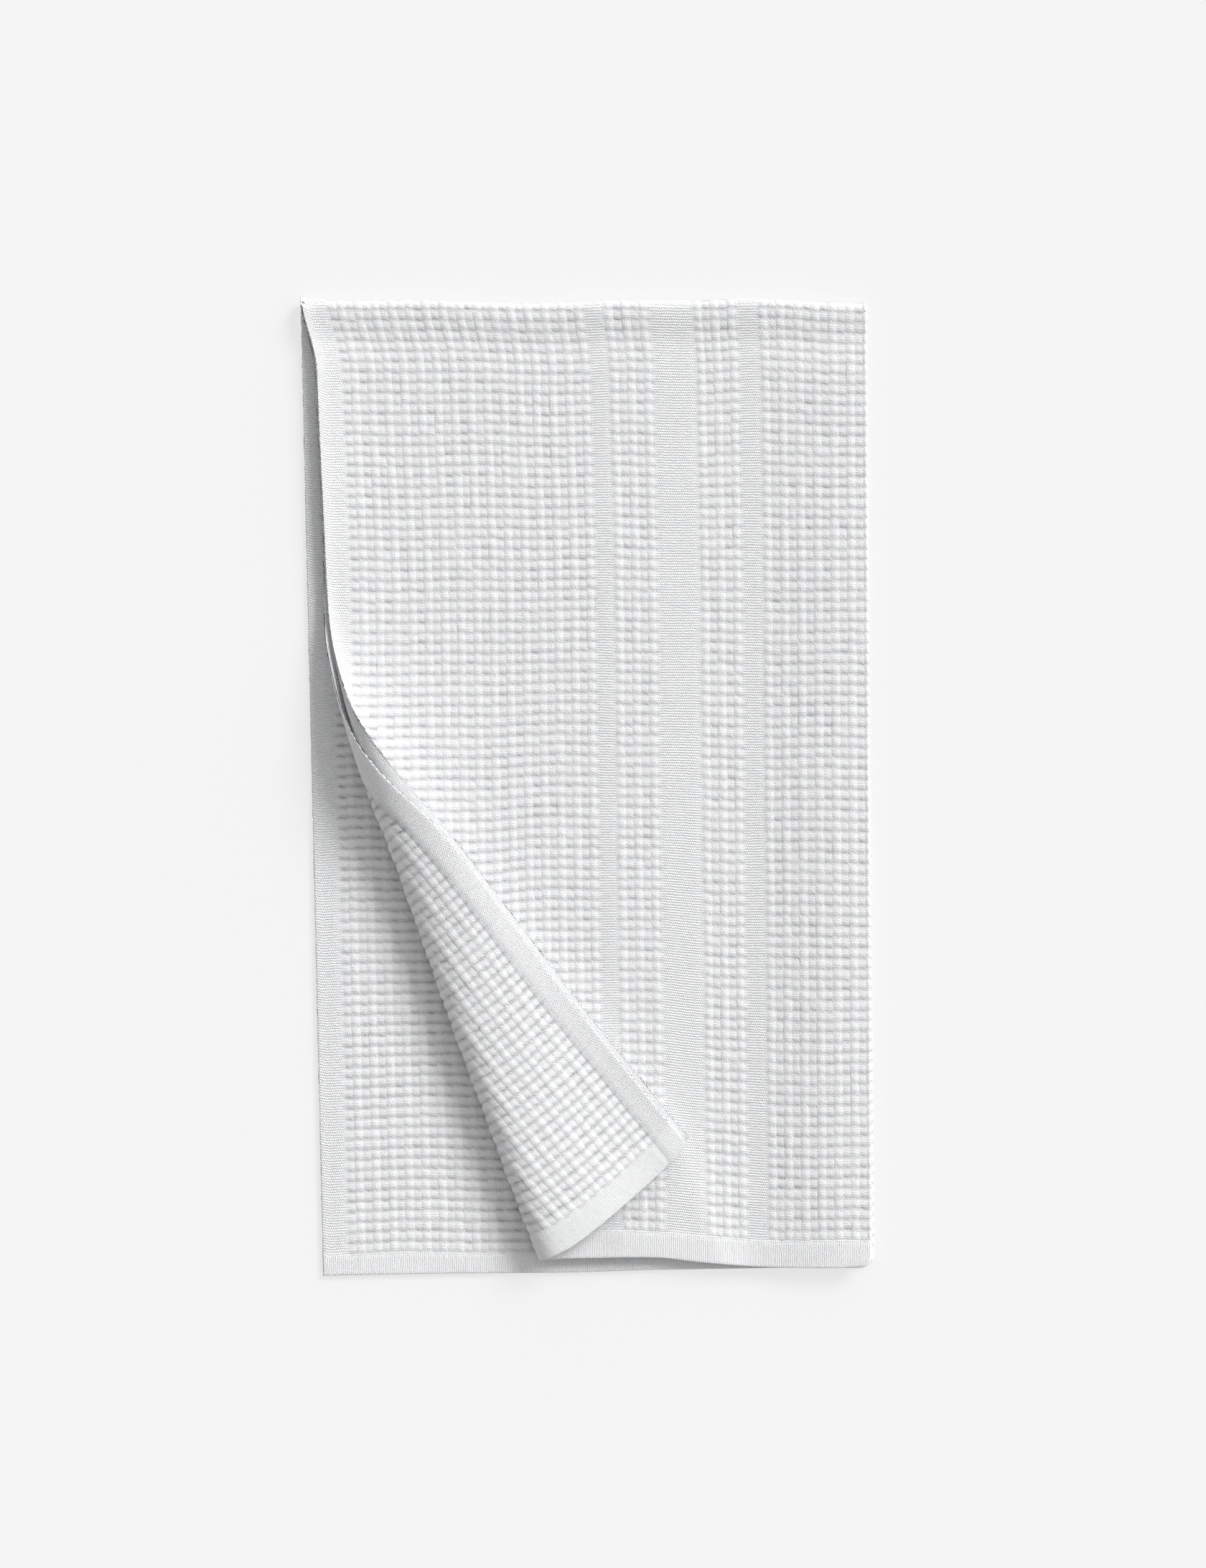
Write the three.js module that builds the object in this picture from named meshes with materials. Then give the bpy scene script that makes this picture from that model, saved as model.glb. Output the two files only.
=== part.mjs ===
// A white waffle-weave bath sheet, folded in half across its width and again along its length,
// with the open corner of its two front layers turned over towards the viewer.
// Millimetres, +Z up. The folded sheet lies on the plane z = 0 and is looked at from above:
// +X is the closed side fold, +Y the closed top fold, and the hems are at -Y.

import * as THREE from "three";

// The cloth
const sheetWidth = 1016;
const frontLength = 865.5;
const backLength = 879;
const clothThickness = 2.2;
const layerGap = 0.9;

// How the folded sheet lies: side edges as a place at y = 0 and a lean in mm per mm of y
const leftEdge = { at: -248.2, lean: -0.0233 };
const rightEdge = { at: 255, lean: -0.0081 };
const topEdge = 438.2;
const topFoldLoft = 2.5;
const topFoldFade = 34;
const frontInset = { low: 16.2, high: 12.8, corner: 12.2 };
const cornerFrom = 372;
const cornerOver = 70;
const insetBulge = { depth: 2.4, y: 215, reach: 95 };
const frontRim = { at: 2, lean: -0.0035 };
const frontLoft = 2.2;
const sideRise = { height: 8.5, from: 140, over: 90, lessAtTop: 0.6, topFrom: -100, topOver: 450 };
const cornerRound = { hem: 9, top: 6, reach: 0.07 };
const sheetWave = { height: 0.35, long: 74, cross: 61 };

// The turned corner: its crease starts on the open side edge and runs down to the hem
const creaseStart = { x: -236.5, y: 106.5 };
const creaseLean = THREE.MathUtils.degToRad(19.65);
const flapClearance = 1.6;

// One row for each section across the crease, by its distance down the crease:
// radius of the roll, and splay of the two layers there
// rise of the front pair under the flap, edge at which it starts to fall as a distance from the
// crease, and ramp over which it falls
// slip of the under layer, and shift of the crease to the open side
const creaseSections = [
  { down: -360, radius: 80, splay: 0, rise: 1, edge: -20, ramp: 40, slip: 0, shift: 0 },
  { down: -220, radius: 50, splay: 0, rise: 3, edge: -20, ramp: 40, slip: 0, shift: 0 },
  { down: -120, radius: 26, splay: 0, rise: 5, edge: -16, ramp: 40, slip: 0, shift: 0 },
  { down: -60, radius: 20, splay: 1, rise: 6, edge: -8, ramp: 40, slip: 0, shift: -0.5 },
  { down: 0, radius: 17, splay: 2, rise: 9, edge: 0, ramp: 38, slip: 0.5, shift: -1 },
  { down: 50, radius: 15, splay: 3, rise: 12, edge: 14, ramp: 38, slip: 4, shift: 1.2 },
  { down: 105, radius: 10, splay: 3, rise: 12, edge: 33, ramp: 34, slip: 9, shift: 1 },
  { down: 170, radius: 6, splay: 2, rise: 11, edge: 47, ramp: 27, slip: 6, shift: -1.2 },
  { down: 260, radius: 4.5, splay: 0, rise: 9, edge: 72, ramp: 23, slip: 4, shift: -0.8 },
  { down: 350, radius: 5, splay: 0, rise: 7, edge: 104, ramp: 20, slip: 4, shift: 0.2 },
  { down: 430, radius: 6, splay: 0, rise: 5, edge: 133, ramp: 18, slip: 4, shift: -0.3 },
  { down: 500, radius: 6, splay: 0, rise: 5, edge: 153, ramp: 16, slip: 3, shift: -0.8 },
  { down: 570, radius: 6, splay: 0, rise: 5, edge: 160, ramp: 16, slip: 3, shift: -3 },
];

// The same for the flap: how high it puffs up behind the roll and over which reach, and how far its
// free edge lifts
const flapSections = [
  { down: -360, puff: 0, reach: 30, lift: 5 },
  { down: -220, puff: 0, reach: 30, lift: 7 },
  { down: -120, puff: 0, reach: 30, lift: 7 },
  { down: -60, puff: 6, reach: 30, lift: 4 },
  { down: 0, puff: 18, reach: 30, lift: 1 },
  { down: 50, puff: 34, reach: 30, lift: 0 },
  { down: 105, puff: 31, reach: 21, lift: 0 },
  { down: 170, puff: 26, reach: 20, lift: 2 },
  { down: 260, puff: 20, reach: 12, lift: 5 },
  { down: 350, puff: 19, reach: 11, lift: 6 },
  { down: 430, puff: 19, reach: 11, lift: 6 },
  { down: 500, puff: 18, reach: 11, lift: 5 },
  { down: 570, puff: 18, reach: 11, lift: 5 },
];
const rampRound = 4;
const puffHold = 34;
const puffFade = 75;
const liftReach = 24;
const splayReach = 60;
const slipReach = 260;

// How far the hems and the top fold wander along +Y, by the share of the width from the open side
const frontHem = [
  { across: 0, up: 1.5 }, { across: 0.05, up: -4.5 }, { across: 0.2, up: -6.5 },
  { across: 0.3, up: -4.5 }, { across: 0.38, up: 2.5 }, { across: 0.5, up: 4.5 },
  { across: 0.6, up: 4.6 }, { across: 0.68, up: 0.5 }, { across: 0.8, up: -4.2 }, { across: 1, up: -3.4 },
];
const backHem = [
  { across: 0, up: 0 }, { across: 0.2, up: 1.9 }, { across: 0.43, up: 2.8 },
  { across: 0.6, up: 5.2 }, { across: 0.8, up: 6.8 }, { across: 1, up: 9 },
];
const topWander = [{ height: 1.6, turns: 9.5, start: 0.8 }, { height: 0.9, turns: 23, start: 2 }];

// The grid of the surface: column counts by zone, and where its rows lie
const columnCount = { roll: 9, ramp: 6, flat: 4, sideFold: 5 };
const flapColumns = [0, 0.06, 0.3, 0.55, 0.74, 0.86, 0.93, 0.97];
const rampColumns = 2.5;
const narrowFlap = 14;
const narrowRoll = 34;
const hemRows = [0, 3, 9];
const frontRows = { count: 28, from: 26, closer: 0.66, middle: 0.53 };
const topRows = 6;
const backRows = 5;

const pairHalf = clothThickness + layerGap / 2;
const bendRadius = (clothThickness + layerGap) / 2;
const flatWidth = sheetWidth / 2 - (Math.PI / 2) * bendRadius;
const pairWidth = flatWidth + bendRadius + clothThickness / 2;
const topRadius = pairHalf + layerGap / 2 + topFoldLoft;
const topArc = (Math.PI / 2) * topRadius;
const downCrease = { x: Math.sin(creaseLean), y: -Math.cos(creaseLean) };
const offCrease = { x: -Math.cos(creaseLean), y: -Math.sin(creaseLean) };

// A smooth step from 0 to 1
function ease(share) {
  const s = THREE.MathUtils.clamp(share, 0, 1);
  return s * s * (3 - 2 * s);
}

// The larger of two values, rounded where they cross
function softMax(a, b, round) {
  return (a + b + Math.sqrt((a - b) ** 2 + round * round)) / 2;
}

// A smooth curve through the rows of a table
function tableValue(rows, place, value, x) {
  const last = rows.length - 1;
  const at = THREE.MathUtils.clamp(x, rows[0][place], rows[last][place]);
  let i = 0;
  while (i < last - 1 && at >= rows[i + 1][place]) i += 1;
  const slope = (k) => {
    const before = rows[Math.max(k - 1, 0)];
    const after = rows[Math.min(k + 1, last)];
    return (after[value] - before[value]) / (after[place] - before[place]);
  };
  const step = rows[i + 1][place] - rows[i][place];
  const f = (at - rows[i][place]) / step;
  return rows[i][value] * (2 * f ** 3 - 3 * f ** 2 + 1)
    + slope(i) * step * (f ** 3 - 2 * f ** 2 + f)
    + rows[i + 1][value] * (3 * f ** 2 - 2 * f ** 3)
    + slope(i + 1) * step * (f ** 3 - f ** 2);
}

// Distance down the crease and off it, towards the open side, of a place in plan
function creasePlace(x, y) {
  const dx = x - creaseStart.x;
  const dy = y - creaseStart.y;
  return {
    down: dx * downCrease.x + dy * downCrease.y,
    off: dx * offCrease.x + dy * offCrease.y,
  };
}

// Height of the front pair, level under the flap and falling away beyond it
function rampHeight(x, y) {
  const { down, off } = creasePlace(x, y);
  const edge = tableValue(creaseSections, "down", "edge", down);
  const beyond = rampRound * Math.log1p(Math.exp((-off - edge) / rampRound));
  const fall = Math.exp(-beyond / tableValue(creaseSections, "down", "ramp", down));
  return tableValue(creaseSections, "down", "rise", down) * fall;
}

// The front pair's own looseness: a soft rise towards the closed side fold, and low waves
function looseHeight(x, y) {
  const nearTop = 1 - sideRise.lessAtTop * ease((y - sideRise.topFrom) / sideRise.topOver);
  const side = sideRise.height * ease((x - sideRise.from) / sideRise.over) * nearTop;
  const waves = Math.sin(x / sheetWave.cross + y / 170 + 0.6) + 0.7 * Math.sin(y / sheetWave.long - x / 210);
  return frontLoft + side + sheetWave.height * waves;
}

function wanderOfTop(q) {
  return topWander.reduce((sum, w) => sum + w.height * Math.sin(q * w.turns + w.start), 0);
}

// How far a corner of the given radius has drawn in at a distance from its end
function cornerInset(distance, radius) {
  const d = THREE.MathUtils.clamp(distance, 0, radius);
  return radius - Math.sqrt(radius * radius - (radius - d) ** 2);
}

// Plan place of the folded pair before its corner is turned: q is the share of the width from the
// open side, s the distance from the top fold, positive to the front
function layPlace(q, s) {
  const front = s >= 0;
  const share = Math.min(1, Math.abs(s) / (front ? frontLength : backLength));
  const angle = THREE.MathUtils.clamp(s / topRadius, -Math.PI / 2, Math.PI / 2);
  const beyond = Math.max(0, Math.abs(s) - topArc);
  let y = topEdge - topRadius - pairHalf + topRadius * Math.cos(angle) - beyond;
  y += wanderOfTop(q) * (1 - ease(share / 0.4));
  y += tableValue(front ? frontHem : backHem, "across", "up", q) * ease((share - 0.25) / 0.75);
  const turnedFront = ease((Math.sin(angle) + 1) / 2);
  const inset = frontInset.low - (frontInset.low - frontInset.high) * ease((y - 105) / 330)
    - frontInset.corner * ease((y - cornerFrom) / cornerOver)
    + insetBulge.depth * Math.exp(-(((y - insetBulge.y) / insetBulge.reach) ** 2));
  const left = leftEdge.at + leftEdge.lean * y + turnedFront * inset;
  const hemDistance = (front ? frontLength : backLength) - Math.abs(s);
  const rounding = cornerInset(hemDistance, cornerRound.hem) + cornerInset(topEdge - y, cornerRound.top);
  const right = rightEdge.at + rightEdge.lean * y - turnedFront * (frontRim.at + frontRim.lean * y)
    - rounding * ease((q - 1) / cornerRound.reach + 1);
  return { x: left + (right - left) * q, y, angle, beyond };
}

// A point of the surface midway between the two layers of the folded pair
function middlePoint(q, s) {
  const lay = layPlace(q, s);
  const flatHeight = pairHalf + topRadius + topRadius * Math.sin(lay.angle);
  if (s < topArc) return new THREE.Vector3(lay.x, lay.y, flatHeight);

  const { down, off } = creasePlace(lay.x, lay.y);
  const radius = tableValue(creaseSections, "down", "radius", down);
  const w = off - tableValue(creaseSections, "down", "shift", down);
  const halfTurn = (Math.PI / 2) * radius;
  const roll = THREE.MathUtils.clamp((w + halfTurn) / radius, 0, Math.PI);
  const flap = Math.max(0, w - halfTurn);
  const turned = w > -halfTurn ? -halfTurn + radius * Math.sin(roll) - flap : w;
  const resting = 2 * pairHalf + layerGap + flapClearance;
  const settle = Math.exp(-((flap / (3 * radius + 6)) ** 2));
  const base = flap > 0 ? resting + (2 * radius - resting) * settle : radius * (1 - Math.cos(roll));
  const inward = flap > 0 ? radius + flap : radius * (1 - Math.sin(Math.max(roll, Math.PI / 2)));
  const fade = Math.exp(-((Math.max(0, inward - puffHold) / puffFade) ** 2));
  const reach = tableValue(flapSections, "down", "reach", down);
  const puff = tableValue(flapSections, "down", "puff", down) * (1 - Math.exp(-inward / reach)) * fade;

  const x = lay.x + (turned - w) * offCrease.x;
  const y = lay.y + (turned - w) * offCrease.y;
  const loft = 2 * topFoldLoft * (1 - ease(lay.beyond / topFoldFade));
  const curl = tableValue(flapSections, "down", "lift", down) * Math.exp((-q * pairWidth) / liftReach);
  const loose = ease(lay.beyond / 60) * (rampHeight(x, y) + looseHeight(x, y) + curl);
  return new THREE.Vector3(x, y, 3 * pairHalf + layerGap + loft + loose + base + puff);
}

// A point of the cloth: u runs from one side edge round the closed side fold to the other, s is the
// distance from the top fold, and t goes through the thickness, positive on the outer face
function clothPoint(u, s, t) {
  const bend = THREE.MathUtils.clamp((u - flatWidth) / bendRadius, 0, Math.PI);
  const under = u > sheetWidth / 2;
  let across = flatWidth + (bendRadius + t) * Math.sin(bend);
  if (u < flatWidth) across = u;
  if (u > sheetWidth - flatWidth) across = sheetWidth - u;
  let offset = (bendRadius + t) * Math.cos(bend);
  let q = across / pairWidth;
  if (under && s > 0) {
    const lay = layPlace(q, s);
    const { down } = creasePlace(lay.x, lay.y);
    const slip = tableValue(creaseSections, "down", "slip", down);
    const splay = tableValue(creaseSections, "down", "splay", down);
    q += (slip / pairWidth) * (1 - ease(across / slipReach));
    offset -= splay * Math.exp(-((across / splayReach) ** 2));
  }
  const stepQ = 0.001;
  const stepS = 0.4;
  const point = middlePoint(q, s);
  const alongQ = middlePoint(q + stepQ, s).sub(point);
  const alongS = middlePoint(q, s + stepS).sub(point);
  const outward = alongS.cross(alongQ).normalize();
  return point.addScaledVector(outward, offset);
}

// Distances across the half width of one row's grid lines, which follow the turned corner
function columnPlaces(s) {
  const lay = layPlace(0, Math.max(s, topArc));
  const crease = creaseStart.x + (creaseStart.y - lay.y) * Math.tan(creaseLean) - lay.x;
  const down = (creaseStart.y - lay.y) / Math.cos(creaseLean);
  const halfTurn = (Math.PI / 2) * tableValue(creaseSections, "down", "radius", down);
  const spread = Math.min(halfTurn, 40) / Math.cos(creaseLean);
  const rollStart = softMax(crease - spread, narrowFlap, 12);
  const rollEnd = softMax(crease + spread, rollStart + narrowRoll, 12);
  const rampEnd = rollEnd + tableValue(creaseSections, "down", "edge", down)
    + rampColumns * tableValue(creaseSections, "down", "ramp", down);
  const places = flapColumns.map((f) => f * rollStart);
  const addZone = (from, to, count) => {
    for (let k = 0; k < count; k += 1) places.push(from + ((to - from) * k) / count);
  };
  addZone(rollStart, rollEnd, columnCount.roll);
  addZone(rollEnd, rampEnd, columnCount.ramp);
  addZone(rampEnd, flatWidth, columnCount.flat);
  const even = ease(-s / 300);
  return places.map((p, k) => p + (flatWidth * (k / places.length) - p) * even);
}

// Places of the grid's rows, from the front hem over the top fold to the back hem, closer together
// where the front turns over
function rowPlaces() {
  const rows = hemRows.map((d) => frontLength - d);
  const drawn = (f) => f - (frontRows.closer / (2 * Math.PI)) * Math.sin(2 * Math.PI * (f - frontRows.middle));
  const span = frontLength - frontRows.from - topArc;
  for (let k = 0; k < frontRows.count; k += 1) {
    rows.push(frontLength - frontRows.from - span * (drawn(k / frontRows.count) - drawn(0)));
  }
  for (let k = 0; k < topRows; k += 1) rows.push(topArc * (1 - (2 * k) / topRows));
  const lastHem = backLength - hemRows[hemRows.length - 1];
  for (let k = 0; k < backRows; k += 1) rows.push(-topArc - (lastHem - topArc) * (k / backRows) ** 1.6);
  hemRows.toReversed().forEach((d) => rows.push(d - backLength));
  return rows;
}

// The whole cloth as one closed surface: both faces on the same grid, joined round the edge, with
// each four-cornered piece split along the diagonal that runs with the crease
function foldedSheet() {
  const rows = rowPlaces();
  const grid = rows.map((s) => {
    const front = columnPlaces(s);
    const sideFold = [];
    for (let k = 0; k <= columnCount.sideFold; k += 1) {
      sideFold.push(flatWidth + (Math.PI * bendRadius * k) / columnCount.sideFold);
    }
    const under = front.map((p) => sheetWidth - p).reverse();
    return [...front, ...sideFold, ...under].map((u) => ({ u, s }));
  });
  const rowCount = grid.length;
  const lineCount = grid[0].length;
  const positions = [];
  for (const side of [1, -1]) {
    for (const row of grid) {
      for (const { u, s } of row) {
        positions.push(...clothPoint(u, s, (side * clothThickness) / 2).toArray());
      }
    }
  }
  const index = (side, row, line) => side * rowCount * lineCount + row * lineCount + line;
  const faces = [];
  const addQuad = (a, b, c, d) => faces.push(a, b, c, a, c, d);
  for (let r = 0; r + 1 < rowCount; r += 1) {
    for (let l = 0; l + 1 < lineCount; l += 1) {
      const corners = [[r, l], [r, l + 1], [r + 1, l + 1], [r + 1, l]];
      if (2 * l < lineCount) corners.push(corners.shift());
      const outer = corners.map(([row, line]) => index(0, row, line));
      const inner = corners.map(([row, line]) => index(1, row, line));
      addQuad(...outer);
      addQuad(inner[0], inner[3], inner[2], inner[1]);
    }
  }
  for (let l = 0; l + 1 < lineCount; l += 1) {
    addQuad(index(0, 0, l), index(1, 0, l), index(1, 0, l + 1), index(0, 0, l + 1));
    const r = rowCount - 1;
    addQuad(index(0, r, l), index(0, r, l + 1), index(1, r, l + 1), index(1, r, l));
  }
  for (let r = 0; r + 1 < rowCount; r += 1) {
    addQuad(index(0, r, 0), index(0, r + 1, 0), index(1, r + 1, 0), index(1, r, 0));
    const l = lineCount - 1;
    addQuad(index(0, r, l), index(1, r, l), index(1, r + 1, l), index(0, r + 1, l));
  }
  const geometry = new THREE.BufferGeometry();
  geometry.setAttribute("position", new THREE.Float32BufferAttribute(positions, 3));
  geometry.setIndex(faces);
  geometry.computeVertexNormals();
  return geometry;
}

const whiteCotton = new THREE.MeshStandardMaterial({ color: 0xf3f3f2, roughness: 0.95, metalness: 0 });

const clothSheet = new THREE.Mesh(foldedSheet(), whiteCotton);
clothSheet.name = "cloth_sheet";

const group = new THREE.Group();
group.add(clothSheet);

export default group;
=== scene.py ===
import math

import bpy
import numpy as np
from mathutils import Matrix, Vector


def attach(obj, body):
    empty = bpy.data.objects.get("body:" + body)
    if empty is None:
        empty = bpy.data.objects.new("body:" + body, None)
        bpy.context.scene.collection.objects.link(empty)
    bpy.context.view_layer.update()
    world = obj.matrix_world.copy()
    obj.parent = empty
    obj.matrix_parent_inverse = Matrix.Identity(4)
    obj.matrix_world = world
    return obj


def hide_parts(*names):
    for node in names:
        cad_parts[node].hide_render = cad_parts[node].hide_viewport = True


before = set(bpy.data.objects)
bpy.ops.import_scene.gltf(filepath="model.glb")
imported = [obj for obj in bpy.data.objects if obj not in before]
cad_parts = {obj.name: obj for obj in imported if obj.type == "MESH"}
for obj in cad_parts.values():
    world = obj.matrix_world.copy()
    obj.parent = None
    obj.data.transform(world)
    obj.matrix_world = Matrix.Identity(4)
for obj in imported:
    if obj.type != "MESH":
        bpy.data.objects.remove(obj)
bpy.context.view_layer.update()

# The folded sheet is worked out in millimetres on a flat cloth and laid on its folds.
# u runs across the cloth from the front selvedge round the closed side fold to the under selvedge,
# s is the distance from the top fold, positive on the front, and q is the share of the half width.

sheet = {
    "width": 1016.0,
    "frontLength": 865.5,
    "backLength": 879.0,
    "thickness": 2.2,
    "gap": 0.9,  # air between two layers
    "perMetre": 1000.0,
}

lay = {
    "leftAt": -248.2, "leftLean": -0.0233,  # open side of the back layers: place at y = 0, mm per mm of y
    "rightAt": 255.0, "rightLean": -0.0081,  # closed side fold
    "topAt": 438.2, "topLoft": 2.5, "topFade": 34.0,
    "insetLow": 16.2, "insetHigh": 12.8, "insetCorner": 12.2,  # how far the front's open side lies inside
    "insetFrom": 105.0, "insetOver": 330.0, "cornerFrom": 372.0, "cornerOver": 70.0,
    "insetMore": 1.7, "insetMoreAt": 215.0, "insetMoreReach": 95.0,
    "rimAt": 2.0, "rimLean": -0.0035,  # how far the front's side fold lies inside
    "frontLoft": 2.2, "loftOver": 60.0, "edgeCurl": 1.6, "curlReach": 4.5,
    "sideRise": 8.5, "riseFrom": 140.0, "riseOver": 90.0,  # towards the closed side fold
    "lessAtTop": 0.6, "topFrom": -100.0, "topOver": 450.0,  # that rise is lower near the top
    "hemCorner": 9.0, "topCorner": 6.0, "cornerReach": 0.07,
    "waves": [(0.35, 61, 170, 0.6), (0.245, -210, 74, 0)],  # height, mm of x and of y in a radian, start
    "frontHem": [  # share of the width, how far the hem wanders towards the top fold
        (0, 1.5), (0.05, -4.5), (0.2, -6.5), (0.3, -4.5), (0.38, 2.5),
        (0.5, 4.5), (0.6, 4.6), (0.68, 0.5), (0.8, -4.2), (1, -3.4),
    ],
    "backHem": [(0, 0), (0.2, 1.9), (0.43, 2.8), (0.6, 5.2), (0.8, 6.8), (1, 9)],
    "hemFrom": 0.25,  # share of the length where the hems' wander begins
    "topWander": [(1.6, 9.5, 0.8), (0.9, 23, 2)], "wanderTo": 0.4,  # height, turns, start
    "probeAcross": 0.001, "probeAlong": 0.4,  # small steps that find the cloth's slope
}

corner = {  # the open corner of the two front layers, turned over along a leaning crease
    "startX": -236.5, "startY": 106.5,
    "lean": math.radians(19.65),
    "clearance": 1.6,
    "splayReach": 60.0, "slipReach": 260.0, "edgeRound": 4.0,
    "settleRadii": 3.0, "settleMore": 6.0,
    "puffHold": 34.0, "puffFade": 75.0, "liftReach": 24.0,
    # down the crease from the start: the roll's radius, the splay of its two layers at their edges,
    # the rise of the front under the flap, its ramp's length and where it begins, the under layer's
    # slip, the crease's shift, the flap's puff and the reach of it, and the free edges' lift
    "columns": (
        "down", "radius", "splay", "rise", "ramp", "edge", "slip", "shift",
        "puff", "reach", "lift",
    ),
    "sections": [
        (-360, 80, 0, 1, 40, -20, 0, 0, 0, 30, 5),
        (-220, 50, 0, 3, 40, -20, 0, 0, 0, 30, 7),
        (-120, 26, 0, 5, 40, -16, 0, 0, 0, 30, 7),
        (-60, 20, 1, 6, 40, -8, 0, -0.5, 6, 30, 4),
        (0, 17, 2, 9, 38, 0, 0.5, -1, 18, 30, 1),
        (50, 15, 3, 12, 38, 14, 4, 1.2, 34, 30, 0),
        (105, 10, 3, 12, 34, 33, 9, 1, 31, 21, 0),
        (170, 6, 2, 11, 27, 47, 6, -1.2, 26, 20, 2),
        (260, 4.5, 0, 9, 23, 72, 5.5, -0.8, 20, 12, 5),
        (350, 5, 0, 7, 20, 104, 5.5, 0.2, 19, 11, 6),
        (430, 6, 0, 5, 18, 133, 5.5, -0.3, 19, 11, 6),
        (500, 6, 0, 5, 16, 153, 5, -0.8, 18, 11, 5),
        (570, 6, 0, 5, 16, 160, 5, -3, 18, 11, 5),
    ],
}

pairHalf = sheet["thickness"] + sheet["gap"] / 2
bendRadius = (sheet["thickness"] + sheet["gap"]) / 2
halfWidth = sheet["width"] / 2
flatWidth = halfWidth - math.pi / 2 * bendRadius
pairWidth = flatWidth + bendRadius + sheet["thickness"] / 2
topRadius = pairHalf + sheet["gap"] / 2 + lay["topLoft"]
topArc = math.pi / 2 * topRadius
downCrease = (math.sin(corner["lean"]), -math.cos(corner["lean"]))
offCrease = (-math.cos(corner["lean"]), -math.sin(corner["lean"]))


def ease(share):
    s = np.clip(share, 0, 1)
    return s * s * (3 - 2 * s)


def curveThrough(rows, x, column=1):  # a smooth curve through the rows of a table
    places = np.array([row[0] for row in rows], float)
    values = np.array([row[column] for row in rows], float)
    slopes = np.empty_like(values)
    slopes[1:-1] = (values[2:] - values[:-2]) / (places[2:] - places[:-2])
    slopes[0] = (values[1] - values[0]) / (places[1] - places[0])
    slopes[-1] = (values[-1] - values[-2]) / (places[-1] - places[-2])
    at = np.clip(x, places[0], places[-1])
    i = np.clip(np.searchsorted(places, at, "right") - 1, 0, len(places) - 2)
    step = places[i + 1] - places[i]
    f = (at - places[i]) / step
    return (values[i] * (2 * f**3 - 3 * f**2 + 1) + slopes[i] * step * (f**3 - 2 * f**2 + f)
            + values[i + 1] * (3 * f**2 - 2 * f**3) + slopes[i + 1] * step * (f**3 - f**2))


def section(name, down):
    return curveThrough(corner["sections"], down, corner["columns"].index(name))


def creasePlace(x, y):
    dx, dy = x - corner["startX"], y - corner["startY"]
    return dx * downCrease[0] + dy * downCrease[1], dx * offCrease[0] + dy * offCrease[1]


def rampHeight(x, y):
    down, off = creasePlace(x, y)
    beyond = corner["edgeRound"] * np.logaddexp(0, (-off - section("edge", down)) / corner["edgeRound"])
    return section("rise", down) * np.exp(-beyond / section("ramp", down))


def looseHeight(x, y):
    nearTop = 1 - lay["lessAtTop"] * ease((y - lay["topFrom"]) / lay["topOver"])
    side = lay["sideRise"] * ease((x - lay["riseFrom"]) / lay["riseOver"]) * nearTop
    waves = sum(height * np.sin(x / across + y / along + start)
                for height, across, along, start in lay["waves"])
    return lay["frontLoft"] + side + waves


def cornerInset(distance, radius):
    d = np.clip(distance, 0, radius)
    return radius - np.sqrt(radius * radius - (radius - d) ** 2)


def layPlace(q, s):
    front = s >= 0
    length = np.where(front, sheet["frontLength"], sheet["backLength"])
    share = np.minimum(1, np.abs(s) / length)
    angle = np.clip(s / topRadius, -math.pi / 2, math.pi / 2)
    beyond = np.maximum(0, np.abs(s) - topArc)
    y = lay["topAt"] - topRadius - pairHalf + topRadius * np.cos(angle) - beyond
    wander = sum(height * np.sin(q * turns + start) for height, turns, start in lay["topWander"])
    y = y + wander * (1 - ease(share / lay["wanderTo"]))
    hem = np.where(front, curveThrough(lay["frontHem"], q), curveThrough(lay["backHem"], q))
    y = y + hem * ease((share - lay["hemFrom"]) / (1 - lay["hemFrom"]))
    turned = ease((np.sin(angle) + 1) / 2)
    narrower = (lay["insetLow"] - lay["insetHigh"]) * ease((y - lay["insetFrom"]) / lay["insetOver"])
    atCorner = lay["insetCorner"] * ease((y - lay["cornerFrom"]) / lay["cornerOver"])
    bulge = lay["insetMore"] * np.exp(-(((y - lay["insetMoreAt"]) / lay["insetMoreReach"]) ** 2))
    inset = lay["insetLow"] - narrower - atCorner + bulge
    left = lay["leftAt"] + lay["leftLean"] * y + turned * inset
    rounding = (cornerInset(length - np.abs(s), lay["hemCorner"])
                + cornerInset(lay["topAt"] - y, lay["topCorner"]))
    right = (lay["rightAt"] + lay["rightLean"] * y - turned * (lay["rimAt"] + lay["rimLean"] * y)
             - rounding * ease((q - 1) / lay["cornerReach"] + 1))
    return left + (right - left) * q, y, angle, beyond


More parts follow.
